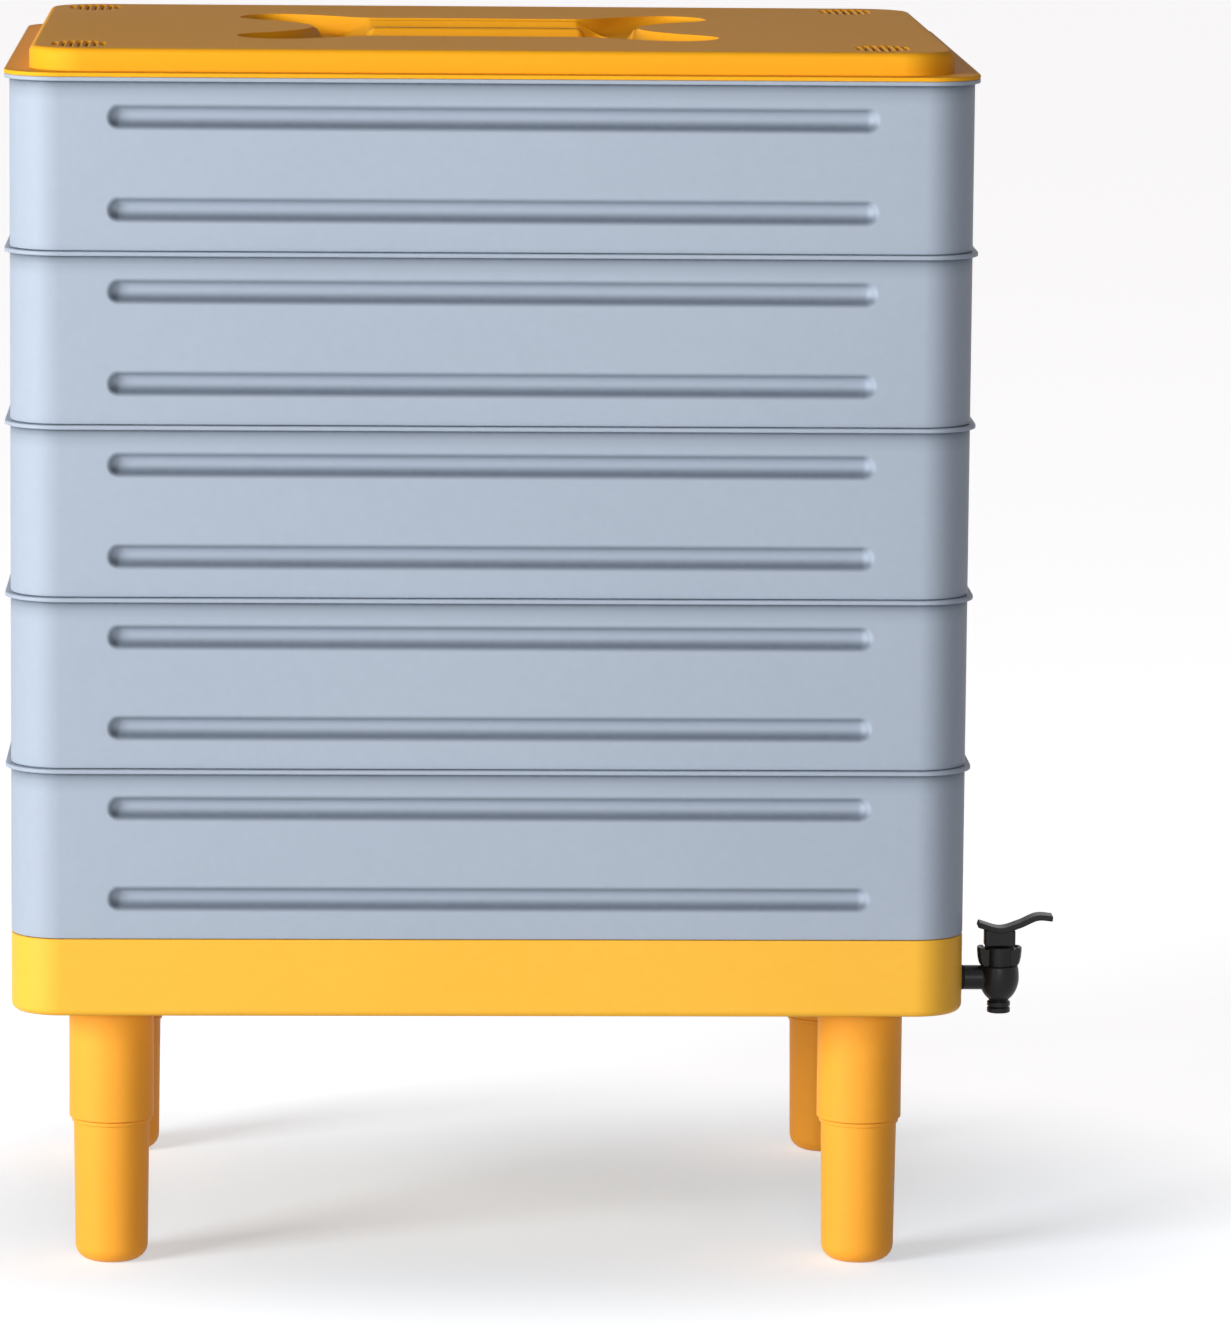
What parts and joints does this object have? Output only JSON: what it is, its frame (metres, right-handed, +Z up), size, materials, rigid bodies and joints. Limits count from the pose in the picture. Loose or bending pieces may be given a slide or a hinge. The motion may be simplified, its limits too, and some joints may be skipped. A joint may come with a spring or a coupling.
{
  "type": "stacking wormery",
  "caption": "Stacking wormery: perforated trays with grip grooves under a vented lid with a recessed bar handle, on a legged sump with a lever drain tap.",
  "frame": {"origin": "middle of the overall width and depth, tap included, on the plane the feet stand on", "axes": "+Z up through the stack; -Y to the front with the tap near it; +X to the side that carries the tap"},
  "size_m": [0.4964, 0.3552, 0.5805],
  "materials": {
    "orange_plastic": "satin moulded plastic",
    "grey_plastic": "satin moulded plastic",
    "black_plastic": "satin moulded plastic",
    "seal_rubber": "soft matt rubber",
    "spring_steel": "drawn stainless wire"
  },
  "bodies": {
    "base": {"sump_base": "orange_plastic", "upper_leg_front_left": "orange_plastic", "upper_leg_front_right": "orange_plastic", "upper_leg_back_left": "orange_plastic", "upper_leg_back_right": "orange_plastic", "lower_leg_front_left": "orange_plastic", "lower_leg_front_right": "orange_plastic", "lower_leg_back_left": "orange_plastic", "lower_leg_back_right": "orange_plastic", "tap_body": "black_plastic", "tap_bonnet": "black_plastic", "valve_spring": "spring_steel", "tap_nut": "black_plastic", "outer_washer": "seal_rubber", "inner_washer": "seal_rubber"},
    "tray_5": {"tray_5": "grey_plastic"},
    "tray_4": {"tray_4": "grey_plastic"},
    "tray_3": {"tray_3": "grey_plastic"},
    "tray_2": {"tray_2": "grey_plastic"},
    "tray_1": {"tray_1": "grey_plastic"},
    "lid": {"lid": "orange_plastic"},
    "valve_stem": {"valve_stem": "black_plastic", "valve_seal": "seal_rubber", "lever_pin": "spring_steel"},
    "tap_lever": {"tap_lever": "black_plastic"}
  },
  "joints": [
    {"name": "tray_5_lift", "type": "slide", "parent": "base", "child": "tray_5", "axis": [0, 0, 1], "range_m": [0, 0.1]},
    {"name": "tray_4_lift", "type": "slide", "parent": "tray_5", "child": "tray_4", "axis": [0, 0, 1], "range_m": [0, 0.1]},
    {"name": "tray_3_lift", "type": "slide", "parent": "tray_4", "child": "tray_3", "axis": [0, 0, 1], "range_m": [0, 0.1]},
    {"name": "tray_2_lift", "type": "slide", "parent": "tray_3", "child": "tray_2", "axis": [0, 0, 1], "range_m": [0, 0.1]},
    {"name": "tray_1_lift", "type": "slide", "parent": "tray_2", "child": "tray_1", "axis": [0, 0, 1], "range_m": [0, 0.1]},
    {"name": "lid_lift", "type": "slide", "parent": "tray_1", "child": "lid", "axis": [0, 0, 1], "range_m": [0, 0.1]},
    {"name": "stem_lift", "type": "slide", "parent": "base", "child": "valve_stem", "axis": [0, 0, 1], "range_m": [0, 0.0025], "stiffness_N_per_m": 2, "springref_m": -0.01, "deforming": ["valve_spring"]},
    {"name": "lever_tip", "type": "hinge", "parent": "valve_stem", "child": "tap_lever", "pos_m": [0.22318, -0.14, 0.1582], "axis": [0, 1, 0], "range_deg": [0, 30]}
  ],
  "couplings": [
    {"joint": "lever_tip", "follows": "stem_lift", "rad_per_m": 209.44}
  ]
}
